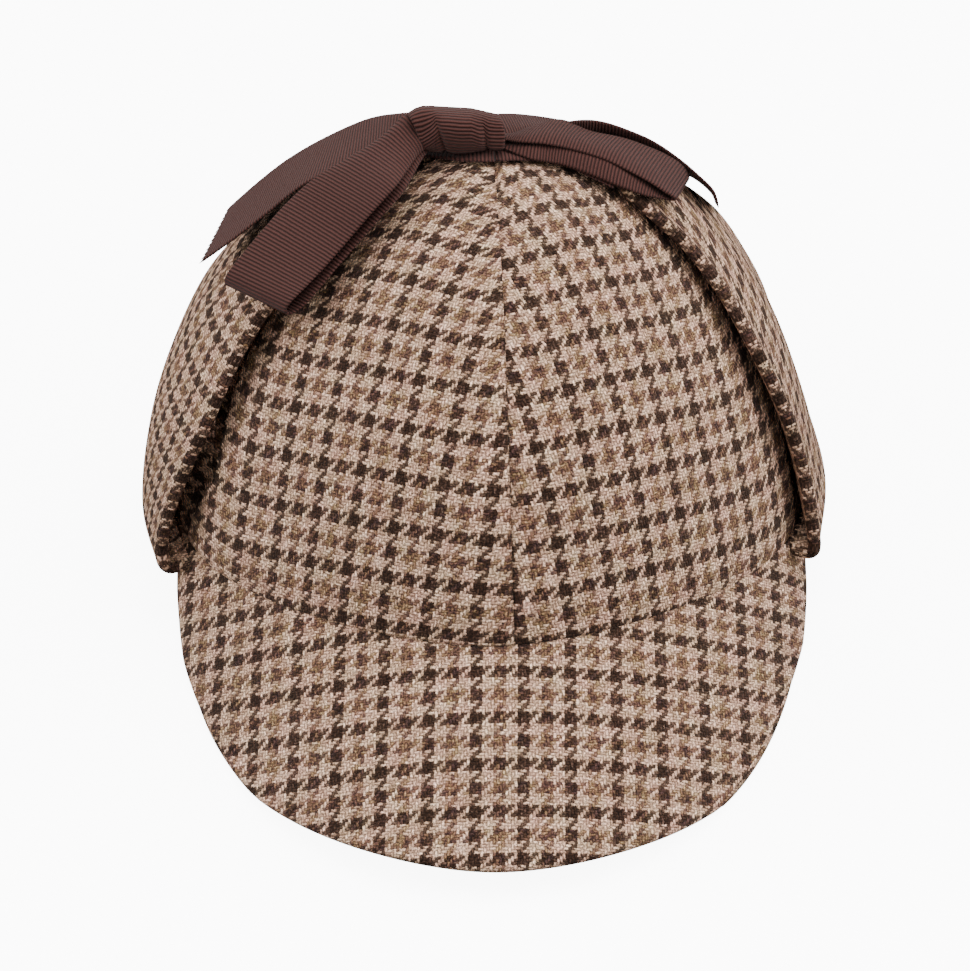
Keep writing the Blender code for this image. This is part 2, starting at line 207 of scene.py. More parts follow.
BOW = {
    "left_loop": (
        # far edge x, y, z, near edge x, y, z, how far the middle is arched up, all in mm
        (-13.5, 0.5, 137.0, -11.5, -4.5, 132.2, 1.0),
        (-20.0, -0.8, 137.8, -15.0, -7.4, 131.9, 1.5),
        (-23.4, -3.4, 136.2, -17.2, -10.2, 131.6, 1.6),
        (-27.8, -5.8, 133.2, -19.4, -15.6, 131.4, 1.4),
        (-34.8, -7.4, 129.4, -22.8, -23.6, 131.0, 0.8),
        (-43.6, -8.6, 124.2, -28.4, -27.8, 126.6, 0.4),
        (-50.4, -11.0, 119.0, -34.2, -30.2, 120.4, 0.3),
        (-56.4, -15.0, 114.0, -39.9, -33.7, 115.1, 0.2),
        (-62.0, -18.5, 108.6, -45.3, -37.0, 110.6, 0.1),
        (-66.2, -20.7, 104.0, -49.4, -39.1, 107.2, 0.0),
        (-67.4, -20.9, 101.4, -50.9, -39.2, 104.6, 0.0),
        (-66.6, -20.4, 99.8, -49.8, -39.0, 103.2, 0.0),
        (-63.4, -19.4, 101.6, -46.6, -38.4, 105.0, 0.0),
        (-59.6, -17.6, 106.0, -43.0, -36.6, 108.4, 0.1),
        (-54.6, -14.6, 111.2, -38.2, -33.5, 112.9, 0.2),
        (-48.8, -10.8, 116.2, -32.6, -30.0, 118.2, 0.3),
        (-42.0, -8.2, 121.4, -26.8, -27.4, 124.2, 0.4),
        (-33.4, -7.0, 126.6, -21.2, -22.8, 128.4, 0.6),
        (-26.6, -5.4, 130.2, -18.2, -15.2, 129.2, 1.0),
        (-22.4, -3.2, 133.2, -16.2, -9.8, 129.9, 1.2),
        (-19.2, -0.8, 134.8, -14.4, -6.8, 130.6, 1.0),
        (-13.0, 0.5, 134.8, -11.0, -4.2, 130.9, 0.8),
    ),
    "left_tail": (
        (-13.5, 2.6, 136.0, -13.0, -4.0, 134.2, 0.8),
        (-20.7, 4.0, 135.2, -21.5, -5.0, 133.2, 0.8),
        (-30.3, 12.6, 128.0, -31.0, -5.0, 128.2, 0.6),
        (-42.4, 19.8, 117.4, -46.3, -3.4, 119.0, 0.4),
        (-51.9, 21.9, 109.8, -56.5, -2.7, 109.6, 0.3),
        (-59.0, 20.7, 104.4, -64.5, -3.7, 103.2, 0.2),
        (-64.4, 19.9, 99.6, -70.4, -4.3, 98.7, 0.1),
        (-67.7, 19.3, 96.6, -73.9, -5.0, 96.4, 0.0),
    ),
    "right_loop": (
        (1.5, -0.5, 131.8, 0.5, -4.6, 132.2, 0.4),
        (3.6, -1.0, 131.8, 3.3, -5.2, 132.7, 0.6),
        (7.2, -0.7, 131.0, 5.6, -5.4, 132.6, 0.8),
        (14.4, 5.0, 130.2, 9.0, -5.9, 132.3, 1.2),
        (20.3, 9.6, 128.4, 15.4, -5.9, 131.6, 1.6),
        (27.8, 11.4, 122.9, 23.1, -5.0, 129.0, 2.0),
        (36.2, 13.0, 120.0, 30.8, -4.8, 125.8, 1.8),
        (42.6, 14.0, 117.0, 37.2, -6.0, 122.8, 1.4),
        (48.0, 14.6, 114.0, 42.3, -7.0, 120.1, 0.9),
        (51.8, 14.8, 111.0, 46.1, -8.0, 117.8, 0.4),
        (53.1, 14.6, 107.8, 48.4, -8.2, 116.3, 0.0),
        (52.9, 14.4, 106.6, 48.6, -7.8, 115.4, 0.0),
        (51.6, 14.0, 106.8, 47.2, -7.4, 115.1, 0.2),
        (49.0, 13.4, 109.2, 44.8, -8.3, 116.2, 0.8),
        (45.2, 12.4, 112.4, 40.6, -9.4, 117.8, 2.4),
        (39.0, 11.4, 116.4, 34.0, -9.2, 120.5, 4.0),
        (32.0, 10.4, 119.6, 27.0, -8.2, 123.4, 4.6),
        (25.0, 9.4, 123.0, 20.4, -8.0, 126.2, 4.2),
        (18.6, 7.4, 126.2, 15.8, -8.2, 127.6, 3.0),
        (13.4, 3.6, 128.4, 11.4, -8.8, 129.1, 1.8),
        (6.4, -1.2, 129.8, 5.0, -6.2, 130.4, 0.6),
        (1.4, -0.8, 130.2, 1.0, -4.4, 130.6, 0.3),
    ),
    "right_tail": (
        (0.3, 4.4, 133.8, 1.5, -2.0, 133.4, 0.6),
        (3.5, 8.4, 131.6, 6.2, -2.4, 131.8, 0.8),
        (9.2, 14.6, 127.4, 11.6, 1.4, 131.0, 0.4),
        (16.3, 20.5, 122.7, 18.0, 5.5, 130.4, -1.4),
        (23.8, 28.9, 115.7, 25.0, 9.2, 129.2, -3.0),
        (28.9, 32.4, 112.1, 30.9, 11.8, 126.8, -3.2),
        (34.8, 32.9, 108.6, 37.7, 12.9, 123.3, -2.8),
        (42.5, 32.4, 103.7, 44.3, 13.1, 119.5, -2.2),
        (49.8, 33.1, 98.7, 50.9, 13.2, 113.7, -1.0),
        (56.2, 32.7, 94.7, 55.6, 12.4, 109.2, -0.2),
        (60.3, 31.8, 91.0, 59.3, 11.4, 105.4, 0.0),
        (61.7, 30.8, 88.0, 60.6, 10.4, 102.2, 0.0),
    ),
}
ARCH_POWER = 4  # how flat the arch between a ribbon's two edges is
LOOP_CLOSING = 0.8  # how far a loop's root is closed inside the knot
TIE_OVERLAP = 2.3 * MM  # how far a tie runs on under the knot
TIE_END_RISE = 0.1 * MM  # and how much it climbs there
TEETH = 12  # of the pinked end of a tail
TOOTH = 1.5 * MM

KNOT_WRAP = (
    # how the knot's middle wraps over, from the back: y, z, and the x of its two ends, in mm
    (4.6, 130.8, -15.0, 2.0),
    (4.2, 134.4, -17.0, 2.8),
    (2.2, 137.2, -18.6, 3.2),
    (0.2, 139.2, -19.4, 3.2),
    (-2.6, 140.6, -19.2, 3.6),
    (-5.4, 140.9, -18.4, 4.2),
    (-7.4, 140.2, -17.2, 4.6),
    (-8.5, 138.4, -16.4, 4.8),
    (-8.8, 136.0, -15.6, 4.6),
    (-8.5, 133.4, -14.8, 3.8),
    (-7.7, 131.0, -14.0, 2.6),
)
KNOT_DROOP = (
    # x in mm, and how far the knot hangs lower there at its crest and at its front, in mm
    (-19.5, 1.6, 3.9),
    (-17.5, 0.2, 3.9),
    (-15.8, -0.4, 3.6),
    (-13.8, -0.4, 2.0),
    (-12.0, -0.2, 0.2),
    (-9.5, 0.0, 0.0),
    (-3.5, 0.5, 0.6),
    (-0.7, 1.3, 2.4),
    (1.0, 1.8, 3.6),
    (3.0, 2.4, 3.8),
    (5.0, 2.6, 3.8),
)
KNOT_BASE = 130.8  # mm, the height that it sits down on
KNOT_HANG = 5.0  # mm above it, from where the knot hangs in full
KNOT_SAG = 0.25  # how far its front moves back, as a share of how far it hangs
KNOT_FRONT = (0.42, 0.66)  # shares of the wrap between which its front begins
KNOT_DOWN = (0.60, 1.00)  # shares of the wrap from its front's upper to its lower edge
KNOT_CREASES = (
    # x in mm at the front's upper and lower edge, of a crease that runs down it
    (-12.4, -10.0),
    (-0.4, 0.9),
)
KNOT_CREASE_DEPTH = 0.9  # mm
KNOT_CREASE_WIDTH = 0.9  # mm
KNOT_PUFF = (-6.2, 4.0, 0.7)  # mm, the x, reach and height of the bulge between its creases
KNOT_MIDDLE = (-2.0, 133.5)  # mm, y and z that its two ends are drawn in to
KNOT_END_DEPTH = 1.5  # mm, how far they are drawn inwards
KNOT_END_SHARES = (0.3, 0.6, 0.9)  # of the way there

# ---------- the cloth
YARN = 12.7 * MM / 16  # sixteen yarns make one repeat of the check
CHECK_STRIPE = 4  # yarns in each stripe: dark, cream, rust, cream

# How the cloth lies: each number of a place in the cloth, in mm, is a sum of terms, a coefficient
# times a power of across and a power of along. On the crown, across is the distance outwards from
# the upright plane that a gore's grain follows, and along is the length from the rim up the crown,
# less UNIT. On a peak, across is the distance towards +X, and along is the distance down its slope,
# less PEAK_LAY_START. Both are in units of UNIT.
UNIT = 50 * MM
GRAIN_ANGLE = radians(24)  # the grain's plane, from the front seam
STEADY_LAY = 0.85  # the place across beyond which the cloth lies evenly
PEAK_LAY_START = 90 * MM
LAY_POWERS = ((0, 0), (1, 0), (2, 0), (3, 0), (4, 0), (0, 1), (0, 2), (0, 3), (1, 1), (2, 1))
CROWN_LAY = {
    # side of the front seam: the coefficients for LAY_POWERS, across and along the cloth
    1: (
        (12.4, 52.5, -0.2, -2.0, 0.0, -2.1, 2.2, 1.9, 0.0, 0.0),
        (-1.1, 0.7, 2.7, 0.0, 0.0, 51.2, 0.8, 0.0, -2.2, 0.0),
    ),
    -1: (
        (19.4, 56.4, 0.2, -6.0, 0.0, -1.7, 2.0, 3.1, 0.0, 0.0),
        (-4.4, 0.4, 3.3, 0.0, 0.0, 50.5, 0.8, 0.0, -2.5, 0.0),
    ),
}
PEAK_LAY = (
    (-7.7, 53.0, 0.0, 1.2, 0.0, 1.2, 0.0, 0.0, -1.4, 0.0),
    (18.0, 0.7, -1.9, 0.0, 1.4, 52.8, -1.1, 0.0, 0.7, 0.4),
)

# The fibres mixed in each wool, from its darkest to its lightest, as linear red, green and blue
WOOLS = {
    #        share of the way, red, green, blue
    "dark": (
        (0.00, 0.012, 0.005, 0.003),
        (0.50, 0.032, 0.015, 0.009),
        (0.80, 0.070, 0.037, 0.026),
        (1.00, 0.170, 0.105, 0.078),
    ),
    "rust": (
        (0.00, 0.030, 0.016, 0.014),
        (0.25, 0.070, 0.034, 0.030),
        (0.45, 0.140, 0.069, 0.044),
        (0.60, 0.175, 0.092, 0.052),
        (0.78, 0.245, 0.146, 0.068),
        (1.00, 0.420, 0.270, 0.160),
    ),
    "cream": (
        (0.00, 0.200, 0.110, 0.070),
        (0.30, 0.400, 0.240, 0.160),
        (0.60, 0.630, 0.394, 0.270),
        (1.00, 1.000, 0.700, 0.520),
    ),
}
RUST_DIP = 0.22  # how much darker rust fibres are where they cross dark yarn
DYE_COOL = (0.96, 1.03, 0.97)  # the dye drifts a little between these two over the cloth
DYE_WARM = (1.04, 0.97, 1.03)

TWILL = 4  # yarns after which the weave repeats: two over, two under
FLOAT_ARCH = 0.6  # exponent of the arch of a yarn where it passes over others
WEFT_HEIGHT = 0.78  # how high the yarns across stand, for the yarns along
FLOAT_SHADE = 0.42  # how much the shade changes from float to float
YARN_SHADE = 0.16  # and from yarn to yarn
FIBRE_STRETCH = (2.4, 0.8)  # how fine the fibres are across and along their yarn
FELTING = 0.07  # how much of a yarn below shows through the one above it
GAP_PAINTED_SHADE = 0.32  # painted shade: how light the cloth's colour stays in the gaps between its yarns
CREST_PAINTED_LIGHT = 1.1  # painted highlight: how much lighter its colour is painted at their crests
STRAY_SEED = 7.0
WARP_SEED = 3.0
WEFT_SEED = 9.0
TWEED_NOISES = {
    # how often it swings in the width of a yarn, its detail, and how far it swings
    "stray": (0.4, 2.0, 0.8),
    "raggedness": (1.7, 2.0, 1.1),
    "fibres": (1.0, 3.0, 1.7),
    "heather": (0.33, 3.0, 1.5),
    "felting": (1.3, 2.0, 0.14),
    "dye": (0.11, 2.0, 2.5),
    "grit": (1.9, 2.0, 3.0),
    "tone": (0.05, 2.0, 0.16),
    "fuzz": (3.0, 3.0, 0.5),
}

RIB = 0.96 * MM  # from one rib of the ribbon to the next
RIB_POWER = 1.3  # exponent of the painted lightness, from the painted shade of a rib's valley to the painted light of its crest
THREADS = 3  # fine threads over the ribs, to the width of a rib
# painted shade between the fine threads
THREAD_PAINTED_SHADE = 0.2
THREAD_HEIGHT = 0.12  # for the height of a rib
SILK_STRETCH = (3.0, 0.9)  # how fine its fibres are across and along it
# painted shade and highlight: the ribbon's colour in a rib's valley and at its crest
SILK_PAINTED_VALLEY_SHADE = (0.012, 0.0038, 0.0030)
SILK_PAINTED_CREST_LIGHT = (0.066, 0.0228, 0.0182)
RIBBON_NOISES = {
    # how often it swings in the width of a rib, its detail, and how far it swings
    "stray": (0.35, 2.0, 0.22),
    "fibres": (1.0, 3.0, 0.5),
}

SURFACES = {
    # roughness, specular level, sheen, its roughness, its tint, relief in mm and its strength
    "tweed": (0.95, 0.08, 0.04, 0.5, (1.0, 0.86, 0.74), 0.40, 0.9),
    "grosgrain": (0.75, 0.14, 0.05, 0.4, (1.0, 0.86, 0.82), 0.45, 0.9),
}

# ---------- camera and light
CAMERA_ELEVATION = radians(37.5)
CAMERA_AZIMUTH = radians(0.071)
CAMERA_ROLL = radians(-0.869)
CAMERA_DISTANCE = 1.25
CAMERA_TARGET = (-0.00134, 0.0, 0.0176)
SENSOR_WIDTH = 36  # mm
CAMERA_LENS = 170.703  # mm

FLOOR_REACH = 3.0
FLOOR_WHITE = (0.94, 0.94, 0.94)
FLOOR_GLOW = 8.5
CARD_DEPTH = -2 * MM  # a grey card just below the floor darkens undersides
CARD_GREY = (0.2, 0.2, 0.2)
LAMP_AIM = Vector((0, 0, 0.06))
LAMPS = (
    # name, place, width, power in watts
    ("overhead", (0.25, -0.10, 1.5), 1.4, 34),
    ("left_side", (-1.3, -0.1, 0.7), 1.0, 19),
    ("right_side", (1.3, -0.2, 0.8), 1.0, 20),
)
DAYLIGHT = 1.0


# ========== shapes
def rim_radius(azimuth):
    """Distance of the rim from the crown's axis."""
    width_share = abs(sin(azimuth) / CROWN_HALF_WIDTH) ** RIM_ROUNDNESS
    length_share = abs(cos(azimuth) / CROWN_HALF_LENGTH) ** RIM_ROUNDNESS
    return (width_share + length_share) ** (-1 / RIM_ROUNDNESS)


def rim_height(x):
    """Height of the rim at a distance x from the hat's middle plane."""
    return RIM_FRONT_HEIGHT - RIM_SIDE_DROP * min(abs(x) / CROWN_HALF_WIDTH, 1) ** 3


def crown_skin(azimuth, rise):
    """A point of the crown's outer side: rise is 0 at the rim and 1 at the top."""
    sideways = sin(azimuth) ** 2
    end = PROFILES["front"] if cos(azimuth) > 0 else PROFILES["back"]
    lean, lower, upper = (e + (s - e) * sideways for e, s in zip(end, PROFILES["side"]))
    radius = rim_radius(azimuth)
    bottom = rim_height(radius * sin(azimuth))
    height = CROWN_TOP - bottom
    radii = (radius, radius - lower * height * sin(radians(lean)), upper * radius, 0.0)
    heights = (bottom, bottom + lower * height * cos(radians(lean)), CROWN_TOP, CROWN_TOP)
    weights = ((1 - rise) ** 3, 3 * rise * (1 - rise) ** 2, 3 * rise ** 2 * (1 - rise), rise ** 3)
    out = sum(w * r for w, r in zip(weights, radii))
    out *= 1 + PANEL_FLATNESS * cos(4 * (azimuth - CROWN_TURN)) * sin(pi * min(rise, 1))
    lean_share = rise * rise * (3 - 2 * rise)
    return Vector((
        out * sin(azimuth) + CROWN_LEAN * lean_share,
        -out * cos(azimuth),
        sum(w * h for w, h in zip(weights, heights)),
    ))


def crown_frame(azimuth, rise):
    """Directions at a point of the crown: around it, down it and straight out of it."""
    step = 0.002
    rise = min(max(rise, step), PANEL_TIP)
    around = crown_skin(azimuth + step, rise) - crown_skin(azimuth - step, rise)
    upward = crown_skin(azimuth, rise + step) - crown_skin(azimuth, rise - step)
    out = around.cross(upward).normalized()
    around.normalize()
    return around, around.cross(out), out


def over_crown(azimuth, rise, lift):
    """A point at a height over the crown's outer side."""
    return crown_skin(azimuth, rise) + crown_frame(azimuth, rise)[2] * lift


def smooth_curve(rows, count):
    """Rows of numbers read from a smooth curve through the given rows, count to each step."""
    padded = [rows[0], *rows, rows[-1]]
    result = []
    for index in range(len(rows) - 1):
        before, start, end, after = padded[index:index + 4]
        for part in range(count):
            t = part / count
            result.append([
                0.5 * (2 * b + (c - a) * t + (2 * a - 5 * b + 4 * c - d) * t * t
                       + (3 * b - a - 3 * c + d) * t ** 3)
                for a, b, c, d in zip(before, start, end, after)
            ])
    result.append(list(rows[-1]))
    return result


def crowd_to_ends(count, strength):
    """Places from -1 to 1 that lie closer together towards both ends."""
    places = np.linspace(-1, 1, count + 1)
    return (1 - strength) * places + strength * np.sin(0.5 * pi * places)


def unevenness(point, size, seed):
    """A smooth number from about -1 to 1 that wanders over the cloth."""
    return noise.noise(Vector(point) / size + Vector((seed, 2 * seed, 3 * seed)))


# ========== meshes
def grid_faces(rows, columns, start=0, flip=False):
    """Quads between the points of a grid, counted along its rows."""
    faces = []
    for r in range(rows - 1):
        for c in range(columns - 1):
            a = start + r * columns + c
            face = (a, a + 1, a + columns + 1, a + columns)
            faces.append(face[::-1] if flip else face)
    return faces


def cloth_object(name, points, faces, lay, cloth):
    """A mesh with a UV map of the place in the cloth of each of its points."""
    mesh = bpy.data.meshes.new(name)
    mesh.from_pydata([tuple(p) for p in points], [], faces)
    layer = mesh.uv_layers.new(name="lay")
    corners = np.empty(len(mesh.loops), dtype=np.int32)
    mesh.loops.foreach_get("vertex_index", corners)
    layer.data.foreach_set("uv", np.asarray(lay, dtype=np.float32)[corners].ravel())
    mesh.materials.append(cloth)
    mesh.shade_smooth()
    result = bpy.data.objects.new(name, mesh)
    bpy.context.scene.collection.objects.link(result)
    return result


def normals_of(grid):
    """Unit normals of a grid of points, one row after another."""
    across = np.gradient(grid, axis=1)
    along = np.gradient(grid, axis=0)
    normal = np.cross(across, along)
    return normal / np.linalg.norm(normal, axis=2, keepdims=True)


def lengths(grid, axis):
    """How far each point of a grid lies from its first row or column, along the grid."""
    steps = np.linalg.norm(np.diff(grid, axis=axis), axis=2)
    start = np.zeros_like(np.take(steps, [0], axis=axis))
    return np.concatenate([start, np.cumsum(steps, axis=axis)], axis=axis)


def pillow(name, middle, thickness, lay, cloth, rounded):
    """A sheet with rounded edges around a grid of middle points.

    rounded says which of the grid's edges are turned over in a half circle, of first_row,
    last_row, first_column and last_column. lay is a grid of each point's place in the cloth, and
    is carried on round those edges.
    """
    rows, columns = middle.shape[:2]
    radius = 0.5 * thickness
    along, across = lengths(middle, 0), lengths(middle, 1)
    half = np.full((rows, columns), radius)
    last_step = (across[:, -1:] - across[:, -2:-1])[..., None]
    outward_lay = {
        "first_row": (lay[:1] - lay[1:2]) / np.maximum(along[1:2], SMALLEST)[..., None],
        "last_row": (lay[-1:] - lay[-2:-1]) / (along[-1:] - along[-2:-1])[..., None],
        "first_column": (lay[:, :1] - lay[:, 1:2]) / across[:, 1:2][..., None],
        "last_column": (lay[:, -1:] - lay[:, -2:-1]) / last_step,
    }
    for side, distance in (
        ("first_row", along), ("last_row", along[-1] - along),
        ("first_column", across), ("last_column", across[:, -1:] - across),
    ):
        if side in rounded:
            inward = np.minimum(distance / radius, 1)
            turn = np.arccos(1 - inward)
            half = np.minimum(half, radius * np.sin(turn))
            extra = radius * ((0.5 * pi - turn) - (1 - inward))
            lay = lay + outward_lay[side] * extra[..., None]
    offset = normals_of(middle) * half[..., None]
    points = np.concatenate([(middle + offset).reshape(-1, 3), (middle - offset).reshape(-1, 3)])
    faces = grid_faces(rows, columns) + grid_faces(rows, columns, rows * columns, flip=True)
    outline = ([(0, c) for c in range(columns)] + [(r, columns - 1) for r in range(1, rows)]
               + [(rows - 1, c) for c in range(columns - 2, -1, -1)]
               + [(r, 0) for r in range(rows - 2, 0, -1)])
    count = rows * columns
    for (r0, c0), (r1, c1) in zip(outline, outline[1:] + outline[:1]):
        a, b = r0 * columns + c0, r1 * columns + c1
        if max(half[r0, c0], half[r1, c1]) > MERGED:
            faces.append((b, a, a + count, b + count))
    lay = lay.reshape(-1, 2)
    result = cloth_object(name, points, faces, np.concatenate([lay, lay]), cloth)
    weld = result.modifiers.new("Edges", "WELD")
    weld.merge_threshold = MERGED
    return result


# ========== materials
class Weaving:
    """A small hand for building a material's nodes."""

    def __init__(self, name):
        self.material = bpy.data.materials.new(name)
        self.material.use_nodes = True
        self.tree = self.material.node_tree
        self.shader = self.tree.nodes["Principled BSDF"]

    def node(self, kind, **settings):
        result = self.tree.nodes.new(kind)
        for key, value in settings.items():
            setattr(result, key, value)
        return result

    def wire(self, value, socket):
        if hasattr(value, "is_output"):
            self.tree.links.new(value, socket)
        else:
            socket.default_value = value

    def math(self, operation, *values):
        result = self.node("ShaderNodeMath", operation=operation)
        for value, socket in zip(values, result.inputs):
            self.wire(value, socket)
        return result.outputs[0]

    def blend(self, factor, first, second):
        """A colour between two colours."""
        result = self.node("ShaderNodeMix", data_type="RGBA")
        self.wire(factor, result.inputs["Factor"])
        self.wire((*first, 1.0) if isinstance(first, tuple) else first, result.inputs["A"])
        self.wire((*second, 1.0) if isinstance(second, tuple) else second, result.inputs["B"])
        return result.outputs["Result"]

    def scaled(self, colour, factor):
        """A colour made darker or lighter by a factor."""
        result = self.node("ShaderNodeVectorMath", operation="SCALE")
        self.wire(colour, result.inputs[0])
        self.wire(factor, result.inputs["Scale"])
        return result.outputs[0]

    def tinted(self, colour, tint):
        """A colour times another."""
        result = self.node("ShaderNodeVectorMath", operation="MULTIPLY")
        self.wire(colour, result.inputs[0])
        self.wire(tint, result.inputs[1])
        return result.outputs[0]

    def lay(self):
        """The place in the cloth: its first and its second number."""
        uv = self.node("ShaderNodeUVMap", uv_map="lay")
        parts = self.node("ShaderNodeSeparateXYZ")
        self.wire(uv.outputs[0], parts.inputs[0])
        return parts.outputs[0], parts.outputs[1]

    def point(self, x, y, z=0.0):
        result = self.node("ShaderNodeCombineXYZ")
        for value, socket in zip((x, y, z), result.inputs):
            self.wire(value, socket)
        return result.outputs[0]

    def swing(self, place, row, middle=0.0):
        """Smooth noise about a middle value, by its row in a table of noises."""
        fineness, detail, reach = row
        texture = self.node("ShaderNodeTexNoise", noise_dimensions="3D")
        self.wire(place, texture.inputs["Vector"])
        texture.inputs["Scale"].default_value = fineness
        texture.inputs["Detail"].default_value = detail
        swung = self.math("MULTIPLY", self.math("SUBTRACT", texture.outputs["Fac"], 0.5), reach)
        return self.math("ADD", swung, middle) if middle else swung

    def chance(self, place):
        """A number from 0 to 1 that belongs to a place."""
        result = self.node("ShaderNodeTexWhiteNoise", noise_dimensions="3D")
        self.wire(place, result.inputs["Vector"])
        return result.outputs["Value"]

    def ramp(self, value, stops):
        """A colour from a table of them, by a number from 0 to 1."""
        result = self.node("ShaderNodeValToRGB")
        elements = result.color_ramp.elements
        while len(elements) < len(stops):
            elements.new(0.5)
        for element, (share, *colour) in zip(elements, stops):
            element.position = share
            element.color = (*colour, 1.0)
        self.wire(value, result.inputs[0])
        return result.outputs[0]

    def number_blend(self, factor, first, second):
        """A number between two numbers."""
        result = self.node("ShaderNodeMix", data_type="FLOAT")
        self.wire(factor, result.inputs["Factor"])
        self.wire(first, result.inputs["A"])
        self.wire(second, result.inputs["B"])
        return result.outputs["Result"]

    def surface(self, kind, colour, height):
        """Wires the colour and the relief to the shader, and sets the rest of it."""
        roughness, specular, sheen, sheen_roughness, tint, depth, strength = SURFACES[kind]
        inputs = self.shader.inputs
        self.wire(colour, inputs["Base Color"])
        inputs["Roughness"].default_value = roughness
        inputs["Specular IOR Level"].default_value = specular
        inputs["Sheen Weight"].default_value = sheen
        inputs["Sheen Roughness"].default_value = sheen_roughness
        inputs["Sheen Tint"].default_value = (*tint, 1.0)
        bump = self.node("ShaderNodeBump")
        bump.inputs["Strength"].default_value = strength
        bump.inputs["Distance"].default_value = depth * MM
        self.wire(height, bump.inputs["Height"])
        self.wire(bump.outputs[0], inputs["Normal"])


def stripe_place(weaving, index):
    """Where a yarn lies in the check, from the first of its dark yarns."""
    repeat = 4 * CHECK_STRIPE
    return weaving.math("FLOORED_MODULO", weaving.math("ADD", index, CHECK_STRIPE / 2), repeat)


def stripe_colour(weaving, place, crossed, fibre, hue):
    """The wool of a yarn, by its place in the check and the mixture of its fibres.

    Rust yarn is drawn from the darker end of its fibres where it crosses dark yarn.
    """
    dark = weaving.math("LESS_THAN", place, CHECK_STRIPE - 0.5)
    crossing_dark = weaving.math("LESS_THAN", crossed, CHECK_STRIPE - 0.5)
    hue = weaving.math("SUBTRACT", hue, weaving.math("MULTIPLY", crossing_dark, RUST_DIP))
    rust = weaving.math("LESS_THAN", weaving.math("ABSOLUTE", weaving.math(
        "SUBTRACT", place, 2.5 * CHECK_STRIPE - 0.5)), CHECK_STRIPE / 2)
    light = weaving.blend(rust, weaving.ramp(fibre, WOOLS["cream"]),
                          weaving.ramp(hue, WOOLS["rust"]))
    return weaving.blend(dark, light, weaving.ramp(fibre, WOOLS["dark"]))


def tweed(name):
    """A gun-club check in a two-and-two twill, yarn by yarn, with shade painted into the gaps
    between the yarns and light painted onto their crests.
    """
    w = Weaving(name)
    u, v = w.lay()
    place = w.point(u, v)

    def stray(value, at):
        """A place across the yarns, moved to where its yarn strays and has its ragged edge."""
        bent = w.math("ADD", value, w.swing(at, TWEED_NOISES["stray"]))
        return w.math("ADD", bent, w.swing(at, TWEED_NOISES["raggedness"]))

    u, v = stray(u, place), stray(v, w.point(v, u, STRAY_SEED))
    warp, weft = w.math("FLOOR", u), w.math("FLOOR", v)
    offset = w.math("SUBTRACT", warp, weft)
    step = w.math("FLOORED_MODULO", offset, TWILL)
    turn = w.math("FLOOR", w.math("DIVIDE", offset, TWILL))
    float_length = TWILL / 2
    warp_on_top = w.math("LESS_THAN", step, float_length - 0.5)

    # how far a place lies across and along its float, which passes over two yarns
    warp_side = w.math("SUBTRACT", u, warp)
    weft_side = w.math("SUBTRACT", v, weft)
    warp_start = w.math("SUBTRACT", float_length - 1, step)
    weft_start = w.math("SUBTRACT", step, float_length)
    warp_along = w.math("DIVIDE", w.math("ADD", warp_start, weft_side), float_length)
    weft_along = w.math("DIVIDE", w.math("ADD", weft_start, warp_side), float_length)

    def hump(side, along):
        """Height of a float: round across and arched along."""
        across = w.math("SINE", w.math("MULTIPLY", side, pi))
        arch = w.math("SINE", w.math("MULTIPLY", along, pi))
        return w.math("MULTIPLY", w.math("MAXIMUM", across, 0.0),
                      w.math("POWER", w.math("MAXIMUM", arch, 0.0), FLOAT_ARCH))

    weft_height = w.math("MULTIPLY", hump(weft_side, weft_along), WEFT_HEIGHT)
    height = w.number_blend(warp_on_top, weft_height, hump(warp_side, warp_along))

    def fibres(across, along, index, seed):
        """The mixture of a yarn's fibres, which lie along it; each float and yarn has its own."""
        fine_across = w.math("MULTIPLY", across, FIBRE_STRETCH[0])
        fine_along = w.math("MULTIPLY", along, FIBRE_STRETCH[1])
        fine = w.swing(w.point(fine_across, fine_along, seed), TWEED_NOISES["fibres"])
        float_shade = w.math("SUBTRACT", w.chance(w.point(index, turn, seed)), 0.5)
        yarn_shade = w.math("SUBTRACT", w.chance(w.point(index, seed, 0.5)), 0.5)
        shade = w.math("ADD", fine, w.math("MULTIPLY", float_shade, FLOAT_SHADE))
        shade = w.math("ADD", shade, w.math("MULTIPLY", yarn_shade, YARN_SHADE))
        return w.math("ADD", shade, 0.5)

    warp_fibre = fibres(u, v, warp, WARP_SEED)
    weft_fibre = fibres(v, u, weft, WEFT_SEED)
    heather = w.swing(place, TWEED_NOISES["heather"])
    weft_place, warp_place = stripe_place(w, weft), stripe_place(w, warp)
    weft_colour = stripe_colour(w, weft_place, warp_place, weft_fibre,
                                w.math("ADD", heather, weft_fibre))
    warp_colour = stripe_colour(w, warp_place, weft_place, warp_fibre,
                                w.math("ADD", heather, warp_fibre))
    felted = w.swing(place, TWEED_NOISES["felting"], FELTING)
    colour = w.blend(felted, w.blend(warp_on_top, weft_colour, warp_colour),
                     w.blend(warp_on_top, warp_colour, weft_colour))
    dye = w.swing(place, TWEED_NOISES["dye"], 0.5)
    colour = w.tinted(colour, w.blend(dye, DYE_COOL, DYE_WARM))
    # painted shade and highlight: the colour is darkened in the gaps between the yarns and
    # lightened at their crests, then varied at random by grit and tone
    tone = w.math("ADD", w.math("MULTIPLY", height, CREST_PAINTED_LIGHT), GAP_PAINTED_SHADE)
    tone = w.math("MULTIPLY", tone, w.swing(place, TWEED_NOISES["grit"], 1.0))
    tone = w.math("MULTIPLY", tone, w.swing(place, TWEED_NOISES["tone"], 1.0))
    w.surface("tweed", w.scaled(colour, tone),
              w.math("ADD", height, w.swing(place, TWEED_NOISES["fuzz"])))
    return w.material


